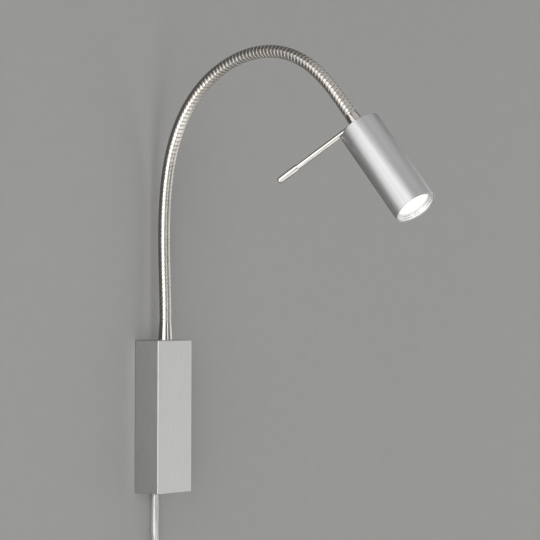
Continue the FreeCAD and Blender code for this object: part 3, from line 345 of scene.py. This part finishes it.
# ---------------------------------------------------------------- wall box
# Seamless five-sided box of aluminium, brushed along its height and clear-lacquered. It slips over the
# bracket on the wall, and two screws through its bottom hold it there.
brushed = Finish("brushed aluminium", base_color=(0.6, 0.6, 0.59), metallic=1.0, roughness=0.42)
fine_lines = brushed.grain((3600, 3600, 60), detail=4)
broad_lines = brushed.grain((900, 900, 14), detail=3)
shade = fine_lines * 0.75 + broad_lines * 0.25
brushed.feed(base_color=brushed.mixed(brushed.spread(shade, 0.35, 0.65), (0.6, 0.6, 0.59),
                                      (0.69, 0.69, 0.68)),
             roughness=brushed.spread(fine_lines, 0.3, 0.7, 0.44, 0.54),
             normal=brushed.bump(fine_lines, 0.1, 0.0001))
brushed.dress("housing")

# ---------------------------------------------------------------- turned fittings of the neck
# Foot on top of the box, and collar at the head: both turned from steel, coned down to the neck's own
# thickness, ground and nickel-plated. Threaded tails and nuts hold them inside.
neck_line_length, neck_links = 30.3, 15
neck_turns = np.array([-2.4, 0.5, 2.4, 4, 7, 10.3, 13.1, 14.6, 13.7, 13.7, 16, 18.2, 16.9, 10.9, 0.9])
neck_foot_point = np.array([0, -17, 93.0])
headings = np.r_[0, np.cumsum(neck_turns)]


def arc_step(link, share):
    """Way from a link's start to the point at a share of its arc. With b = length / turn and s the
    turn so far, it is b (cos s - 1) out and b sin s up, turned to the link's own heading."""
    bend = neck_line_length / np.radians(neck_turns[link])
    swept, at = np.radians(neck_turns[link]) * share, np.radians(headings[link])
    out, up = -bend * (1 - np.cos(swept)), bend * np.sin(swept)
    return np.stack([0 * out, out * np.cos(at) - up * np.sin(at),
                     out * np.sin(at) + up * np.cos(at)], -1)


link_steps = arc_step(np.arange(neck_links), 1)
stations = neck_foot_point + np.r_[np.zeros((1, 3)), np.cumsum(link_steps, axis=0)]


def turned_about_x(degrees):
    """Rotation by an angle about the X axis, as a matrix."""
    c, s = np.cos(np.radians(degrees)), np.sin(np.radians(degrees))
    return np.array([[1, 0, 0], [0, c, -s], [0, s, c]])


def softened(outline, radius, steps=4):
    """The outline with each corner replaced by a small arc of at most this radius."""
    outline = np.array(outline, float)
    before, after = np.roll(outline, 1, 0) - outline, np.roll(outline, -1, 0) - outline
    reach_before, reach_after = (np.linalg.norm(way, axis=1, keepdims=True) for way in (before, after))
    cut = np.minimum(radius, 0.45 * np.minimum(reach_before, reach_after))
    first, last = outline + before / reach_before * cut, outline + after / reach_after * cut
    t = np.linspace(0, 1, steps + 1)[None, :, None]
    curve = first[:, None] * (1 - t) ** 2 + outline[:, None] * 2 * t * (1 - t) + last[:, None] * t ** 2
    return curve.reshape(-1, 2)


def turned(name, outline, rotation, origin, columns=96):
    """A solid of revolution: a closed outline of (radius, height) carried round its own axis."""
    angle = np.linspace(0, 2 * np.pi, columns, endpoint=False)
    radius, height = outline[:, 0, None], outline[:, 1, None]
    local = np.stack([radius * np.cos(angle), radius * np.sin(angle), height + 0 * angle], -1)
    return surface(name, local @ rotation.T + origin, closed_rows=True)


nickel = Finish("satin nickel", base_color=(0.66, 0.63, 0.59), metallic=1.0, roughness=0.2)
turning = nickel.grain((60, 60, 4200), detail=2)
smears = nickel.grain((90, 90, 90), detail=3)
nickel.feed(base_color=nickel.mixed(nickel.spread(smears, 0.3, 0.7), (0.6, 0.57, 0.53),
                                    (0.71, 0.685, 0.645)),
            roughness=nickel.spread(turning, 0.3, 0.7, 0.1, 0.18))
foot_radius, foot_length, foot_tail_radius, foot_tail_length = 7.1, 18, 5, 9
thin_end, lead_bore, spigot_bore, spigot_length, fitting_edge = 6, 2.6, 3.95, 8, 0.35
foot_outline = [(lead_bore, -foot_tail_length), (foot_tail_radius, -foot_tail_length),
                (foot_tail_radius, 0), (foot_radius, 0), (thin_end, foot_length),
                (spigot_bore, foot_length), (spigot_bore, foot_length - spigot_length),
                (lead_bore, foot_length - spigot_length)]
foot = turned("neck_foot_collar", softened(foot_outline, fitting_edge), np.eye(3),
              neck_foot_point - np.array([0, 0, foot_length]))
nickel.dress(foot)
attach(foot, "wall_box")
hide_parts("neck_foot")

head_tilt = headings[-1]
head_turn = turned_about_x(head_tilt)
collar_length, collar_radius, collar_tail_radius, collar_tail_length = 16, 7.3, 4.95, 11
head_back = stations[-1] + head_turn @ np.array([0, 0, collar_length])
collar_outline = [(spigot_bore, -collar_length), (thin_end, -collar_length), (collar_radius, 0),
                  (collar_tail_radius, 0), (collar_tail_radius, collar_tail_length),
                  (lead_bore, collar_tail_length), (lead_bore, spigot_length - collar_length),
                  (spigot_bore, spigot_length - collar_length)]
collar = turned("head_neck_collar", softened(collar_outline, fitting_edge), head_turn, head_back)
nickel.dress(collar)
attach(collar, "head")
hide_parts("head_collar")

# ---------------------------------------------------------------- ribbed neck
# Flexible tube wound from one profiled steel strip, nickel-plated: rounded bands with a thin groove
# between them. It stays where it is bent. Each piece covers the stretch that one joint of the frame
# carries.
neck_radius, band_crown, groove_depth, band_share = 6.0, 0.1, 0.46, 0.84
ribs_per_link, cut_rib = 7, 4
rib_pitch = neck_line_length / ribs_per_link
neck_columns, rows_per_rib = 48, 18


def neck_centre(run):
    """Point and heading at a distance along the neck, on the arc of the link that it falls in."""
    link = np.clip((run / neck_line_length).astype(int), 0, neck_links - 1)
    share = run / neck_line_length - link
    heading = np.radians(headings[link]) + np.radians(neck_turns[link]) * share
    return stations[link] + arc_step(link, share), heading


def neck_rings(run, angle, radius):
    """Rings round the neck's line at these distances, square to it: a point is the line's point plus
    the radius times (cos angle) across and (sin angle) over."""
    centre, at = neck_centre(run)
    over = np.stack([0 * at, np.cos(at), np.sin(at)], -1)
    ring = (np.cos(angle)[None, :, None] * np.array([1.0, 0, 0])
            + np.sin(angle)[None, :, None] * over[:, None])
    return centre[:, None] + radius[..., None] * ring


def wound_tube(first, last):
    """Ribbed skin between two distances: with u from -1 to 1 over a band, the radius is
    R - crown u^2, less the groove's depth times a smooth step near the band's edges. The band's place
    shifts by one pitch for each turn round the neck, as on a wound strip."""
    run = np.linspace(first, last, int(round((last - first) / rib_pitch * rows_per_rib)) + 1)
    angle = np.linspace(0, 2 * np.pi, neck_columns, endpoint=False)
    u = np.abs(2 * ((run[:, None] / rib_pitch - angle[None] / (2 * np.pi)) % 1) - 1)
    fall = np.clip((u - band_share) / (1 - band_share), 0, 1)
    radius = neck_radius - band_crown * u ** 2 - groove_depth * fall ** 2 * (3 - 2 * fall)
    return neck_rings(run, angle, radius)


def joint_span(joint):
    """The stretch of neck that one joint carries, first and last distance, and where its bend starts
    and ends as points in metres. The end stretches run on to the neck's own ends."""
    bend = (joint + np.array([-1, 0]) + cut_rib / ribs_per_link) * neck_line_length
    first = 0.0 if joint == 1 else bend[0]
    last = neck_links * neck_line_length if joint == neck_links - 1 else bend[1]
    start, end = neck_centre(np.array([bend[0], min(bend[1], last)]))[0] * MM
    return first, last, start, end


neck_metal = Finish("nickel-plated strip", base_color=(0.66, 0.63, 0.58), metallic=1.0, roughness=0.26)
blotch = neck_metal.grain((160, 160, 160), detail=3)
fine = neck_metal.grain((1500, 1500, 1500), detail=2)
neck_metal.feed(base_color=neck_metal.mixed(neck_metal.spread(blotch, 0.3, 0.7), (0.6, 0.565, 0.52),
                                            (0.72, 0.69, 0.645)),
                roughness=neck_metal.spread(fine, 0.3, 0.7, 0.22, 0.32))
bodies = ["wall_box", *[f"neck_{n:02d}" for n in range(2, neck_links)], "head"]
backward_joint = 8


def bend_over(piece, joint, start, end):
    """Bake the piece's placement into its mesh. The bodies on either side of its joint, with the far
    body first for one joint, and the points where its bend starts and ends are picked out but not used.
    One joint is given from its far body to its near one, which is the same bend: the other way round,
    its turn comes out wrong at all_max."""
    near, far = (bodies[joint - 1], start), (bodies[joint], end)
    if joint == backward_joint:
        near, far = far, near
    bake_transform(piece)


for joint in range(1, neck_links):
    first, last, start, end = joint_span(joint)
    stretch = surface(f"neck_tube_{joint:02d}", wound_tube(first, last))
    neck_metal.dress(stretch)
    bend_over(stretch, joint, start, end)
    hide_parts(f"neck_link_{joint:02d}")
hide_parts(f"neck_link_{neck_links:02d}")

# ---------------------------------------------------------------- aiming handle
# Straight rod of nickel-plated steel, screwed into the collar to turn the head by. A thicker sleeve
# with a rounded tip is pushed over its end.
handle_swing, handle_reach, handle_seat, handle_drop = np.radians(23), 91, 4.9, 6.4
handle_radius, grip_radius, grip_bore, grip_length, grip_end_wall = 2.5, 3.1, 2.55, 22, 3
rod_edge, grip_edge, on_axis = 0.1, 0.3, 0.001
handle_out = head_turn @ np.array([-np.sin(handle_swing), -np.cos(handle_swing), 0])
handle_root = head_back - head_turn @ np.array([0, 0, handle_drop])


def facing(direction):
    """Rotation that turns the Z axis to a direction, as a matrix with three square columns."""
    side = np.cross(direction, [1.0, 0, 0])
    side /= np.linalg.norm(side)
    return np.stack([np.cross(side, direction), side, direction], -1)


handle_facing = facing(handle_out)
rod_length = handle_reach - handle_seat - grip_end_wall
rod_outline = [(on_axis, 0), (handle_radius, 0), (handle_radius, rod_length), (on_axis, rod_length)]
rod = turned("handle_bar", softened(rod_outline, rod_edge), handle_facing,
             handle_root + handle_out * handle_seat)
grip_outline = [(grip_bore, 0), (grip_radius, 0), (grip_radius, 20.1), (2.75, 21.2), (1.9, 21.85),
                (on_axis, grip_length), (on_axis, grip_length - grip_end_wall),
                (grip_bore, grip_length - grip_end_wall)]
grip = turned("handle_sleeve", softened(grip_outline, grip_edge), handle_facing,
              handle_root + handle_out * (handle_reach - grip_length))
for piece, node in ((rod, "handle_rod"), (grip, "handle_grip")):
    nickel.dress(piece)
    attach(piece, "head")
    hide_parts(node)

# ---------------------------------------------------------------- head
# Round aluminium tube with a satin finish, brushed along its length. A disc closes its back, and the
# collar's threaded tail goes through the disc and holds it with a nut inside.
head_radius, head_length, head_wall, head_edge = 20.5, 98, 1.2, 0.5
disc_depth, disc_thickness, disc_hole, disc_fit, disc_edge = 0.3, 3.2, 5, 0.05, 0.2
satin = Finish("satin aluminium", base_color=(0.66, 0.66, 0.655), metallic=1.0, roughness=0.42)
against_tilt = (-np.radians(head_tilt), 0, 0)
lengthwise = satin.grain((3600, 3600, 60), detail=4, turn=against_tilt)
bands = satin.grain((500, 500, 4), detail=2, turn=against_tilt)
tone = lengthwise * 0.5 + bands * 0.5
satin.feed(base_color=satin.mixed(satin.spread(tone, 0.35, 0.65), (0.6, 0.6, 0.6), (0.73, 0.73, 0.725)),
           roughness=satin.spread(lengthwise, 0.3, 0.7, 0.37, 0.47),
           normal=satin.bump(lengthwise, 0.08, 0.0002))
inner = head_radius - head_wall
tube_outline = [(inner, 0), (head_radius, 0), (head_radius, head_length), (inner, head_length)]
tube = turned("head_shell", softened(tube_outline, head_edge), head_turn, head_back, columns=160)
disc_radius, disc_front = inner - disc_fit, disc_depth + disc_thickness
back_outline = [(disc_hole, disc_depth), (disc_radius, disc_depth), (disc_radius, disc_front),
                (disc_hole, disc_front)]
back = turned("head_end_disc", softened(back_outline, disc_edge), head_turn, head_back)
for piece, node in ((tube, "head_tube"), (back, "head_back")):
    satin.dress(piece)
    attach(piece, "head")
    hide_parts(node)

# ---------------------------------------------------------------- bezel and lens
# Bright stepped ring, turned from aluminium and pressed into the head's mouth, and a domed frosted
# lens seated behind it, which glows evenly over its middle and fades at its rim.
bright = Finish("bright turned ring", base_color=(0.95, 0.95, 0.94), metallic=0.85, roughness=0.3)
rings = bright.grain((300, 300, 300), detail=2)
bright.feed(roughness=bright.spread(rings, 0.3, 0.7, 0.24, 0.36))
bezel_back, front, bezel_radius, bezel_step, bezel_edge, window = 89, 97.5, 19.25, 1.2, 0.25, 16.0
lens_back, lens_front, lens_seat, lens_clearance, lens_edge = 90.5, 92.5, 16.5, 0.1, 0.2
rise = (front - lens_front) / 3
bezel_outline = [(lens_seat, bezel_back), (bezel_radius, bezel_back), (bezel_radius, front),
                 (window + 2 * bezel_step, front), (window + 2 * bezel_step, front - rise),
                 (window + bezel_step, front - rise), (window + bezel_step, front - 2 * rise),
                 (window, front - 2 * rise), (window, lens_front + lens_clearance),
                 (lens_seat, lens_front + lens_clearance)]
bezel = turned("mouth_ring", softened(bezel_outline, bezel_edge), head_turn, head_back, columns=128)
bright.dress(bezel)
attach(bezel, "head")
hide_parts("lens_bezel")
glow_core, glow_edge = 0.011, 0.0165
glow = Finish("frosted lit lens", base_color=(0.5, 0.5, 0.49), roughness=0.5, emission_strength=1.2)
cloud = glow.grain((120, 120, 120), detail=2)
lens_middle = tuple((head_back + head_turn @ np.array([0, 0, lens_front])) * MM)
from_middle = glow.node("ShaderNodeVectorMath", {"operation": "DISTANCE"},
                        {0: glow.node("ShaderNodeTexCoord", output=3), 1: lens_middle}, output=1)
glow.feed(emission_color=glow.mixed(glow.spread(from_middle, glow_core, glow_edge),
                                    glow.mixed(cloud, (1.0, 0.99, 0.965), (1.0, 1.0, 0.985)),
                                    (0.3, 0.3, 0.295)))
lens_radius = lens_seat - lens_clearance
lens_outline = [(on_axis, lens_back), (lens_radius, lens_back), (lens_radius, 92.4), (14.5, 93.3),
                (11, 94.2), (6, 94.8), (on_axis, 95)]
lens = turned("lit_lens", softened(lens_outline, lens_edge), head_turn, head_back, columns=128)
glow.dress(lens)
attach(lens, "head")
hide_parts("lens")

# ---------------------------------------------------------------- pieces inside the head and the box
# Zinc-plated screws, nuts and bracket, white nylon clamp and terminals, the moulded driver, dark leads,
# and the light source with its heat sink and mirror. Each keeps its CAD shape.
zinc = Finish("zinc-plated steel", base_color=(0.6, 0.61, 0.63), metallic=1.0, roughness=0.38)
spangle = zinc.grain((220, 220, 220), detail=4)
zinc.feed(base_color=zinc.mixed(spangle, (0.5, 0.51, 0.53), (0.7, 0.71, 0.73)),
          roughness=zinc.spread(spangle, 0.3, 0.7, 0.3, 0.5))
zinc.dress("wall_bracket", "cover_screws", "clamp_screws", "terminal_screws", "driver_screws",
           "toothed_washer", "lock_nut", "head_nut", "board_screws", "heat_sink")
nylon = Finish("white nylon", base_color=(0.8, 0.8, 0.77), roughness=0.5)
dust = nylon.grain((500, 500, 500), detail=4)
nylon.feed(base_color=nylon.mixed(dust, (0.75, 0.75, 0.72), (0.85, 0.85, 0.83)),
           normal=nylon.bump(dust, 0.1, 0.0002))
nylon.dress("cord_clamp", "terminal_block", "led_driver", "led_board")
rubber = Finish("black rubber", base_color=(0.03, 0.03, 0.03), roughness=0.7)
bloom = rubber.grain((700, 700, 700), detail=4)
rubber.feed(base_color=rubber.mixed(bloom, (0.02, 0.02, 0.02), (0.05, 0.05, 0.05)),
            normal=rubber.bump(bloom, 0.2, 0.0002))
rubber.dress("cord_grommet", "driver_lead", "head_lead", "supply_wires")
mirror = Finish("mirror film", base_color=(0.9, 0.9, 0.9), metallic=1.0, roughness=0.06)
ripple = mirror.grain((200, 200, 200))
mirror.feed(roughness=mirror.spread(ripple, 0.3, 0.7, 0.04, 0.1))
mirror.dress("reflector")
phosphor = Finish("phosphor", base_color=(0.9, 0.75, 0.2), roughness=0.6)
speckle = phosphor.grain((3000, 3000, 3000))
phosphor.feed(base_color=phosphor.mixed(speckle, (0.85, 0.7, 0.15), (0.95, 0.82, 0.3)))
phosphor.dress("led_chip")
clear_sheath.dress("cord_tail")

# ---------------------------------------------------------------- lead in the neck
# The head's two-core lead, a soft round rubber-sheathed cable that lies loose in the neck's bore. It
# follows the neck's line and is made in the same stretches, from the foot's tail to the head's back.
lead_radius, lead_rows, lead_columns = 1.8, 25, 20
lead_tail = foot_length + foot_tail_length
for joint in range(1, neck_links):
    first, last, start, end = joint_span(joint)
    begin = first - lead_tail if joint == 1 else first
    finish = last + collar_length if joint == neck_links - 1 else last
    run = np.linspace(begin, finish, lead_rows)
    angle = np.linspace(0, 2 * np.pi, lead_columns, endpoint=False)
    grid = neck_rings(run, angle, np.full((lead_rows, lead_columns), lead_radius))
    lead = surface(f"lead_stretch_{joint:02d}", grid)
    rubber.dress(lead)
    bend_over(lead, joint, start, end)
    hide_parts("neck_lead")

# ---------------------------------------------------------------- wall, floor and light
# A pale plastered wall that the lamp hangs on, a pale floor far below, soft studio light from large
# panels, and two reflector cards that only polished metal shows.
room_half, floor_level, floor_near, wall_top, wall_gap = 3, -1.2, -4, 2.2, 0.0005


def sheet_of(name, corners, finish):
    """A flat four-cornered sheet of the room."""
    mesh = bpy.data.meshes.new(name)
    mesh.from_pydata(corners, [], [(0, 1, 2, 3)])
    piece = bpy.data.objects.new(name, mesh)
    bpy.context.scene.collection.objects.link(piece)
    finish.dress(piece)
    return piece


plaster = Finish("pale plaster", roughness=0.85, specular_ior_level=0)
trowel = plaster.grain((60, 60, 60), detail=5)
plaster.feed(base_color=plaster.mixed(trowel, (0.512, 0.509, 0.496), (0.545, 0.542, 0.529)),
             normal=plaster.bump(plaster.grain((700, 700, 700), detail=4), 0.06, 0.0004))
wall = sheet_of("wall", [(-room_half, wall_gap, floor_level), (room_half, wall_gap, floor_level),
                         (room_half, wall_gap, wall_top), (-room_half, wall_gap, wall_top)], plaster)
wall.visible_glossy = wall.visible_shadow = False
pale_floor = Finish("pale floor", base_color=(0.7, 0.7, 0.69), roughness=0.8)
sheet_of("floor", [(-room_half, floor_near, floor_level), (room_half, floor_near, floor_level),
                   (room_half, room_half, floor_level), (-room_half, room_half, floor_level)],
         pale_floor)


def panel(name, azimuth, distance, width, height, brightness, middle, climb=0):
    """A soft panel that faces a point, placed by its angle from straight in front and above level."""
    data = bpy.data.lights.new(name, "AREA")
    data.shape, data.size, data.size_y = "RECTANGLE", width, height
    data.energy = brightness * np.pi * width * height
    light = bpy.data.objects.new(name, data)
    turn, up = np.radians(azimuth), np.radians(climb)
    outward = np.array([np.sin(turn) * np.cos(up), -np.cos(turn) * np.cos(up), np.sin(up)])
    side = np.array([np.cos(turn), np.sin(turn), 0])
    top, place = np.cross(outward, side), np.array(middle) + outward * distance
    light.matrix_world = Matrix([[side[k], top[k], outward[k], place[k]] for k in range(3)]
                                + [[0, 0, 0, 1]])
    light.visible_camera = False
    bpy.context.scene.collection.objects.link(light)
    return light


lamp_middle = (0, -0.1, 0.2)
panel("left_panel", -76, 2.2, 1.75, 4.0, 1.4, lamp_middle)
panel("middle_panel", -11, 2.4, 0.75, 2.6, 1.15, lamp_middle)
panel("right_panel", 66, 2.4, 2.9, 3.0, 0.76, lamp_middle)
card = panel("reflector_card", -90, 0.32, 0.26, 0.75, 1.15, (0, -0.11, 0.225))
low_card = panel("low_card", 0, 1.6, 2.4, 1.0, 0.95, lamp_middle, climb=-46)
card.visible_diffuse = low_card.visible_diffuse = False
world = bpy.data.worlds.new("studio")
bpy.context.scene.world = world
world.use_nodes = True
sky = Nodes(world.node_tree)
way = sky.node("ShaderNodeTexCoord", output=0)
in_front = sky.spread(sky.part(way, 1), -0.05, 0.1, 1, 0)
overhead = sky.spread(sky.part(way, 2), 0.55, 0.85, 0, 0.45)
room_glow, behind_glow = 0.09, 0.1
sky.plug(world.node_tree.nodes["Background"],
         {"Color": (1, 1, 1), "Strength": in_front * (overhead + room_glow) + behind_glow})
bpy.context.scene.view_settings.view_transform = "Standard"
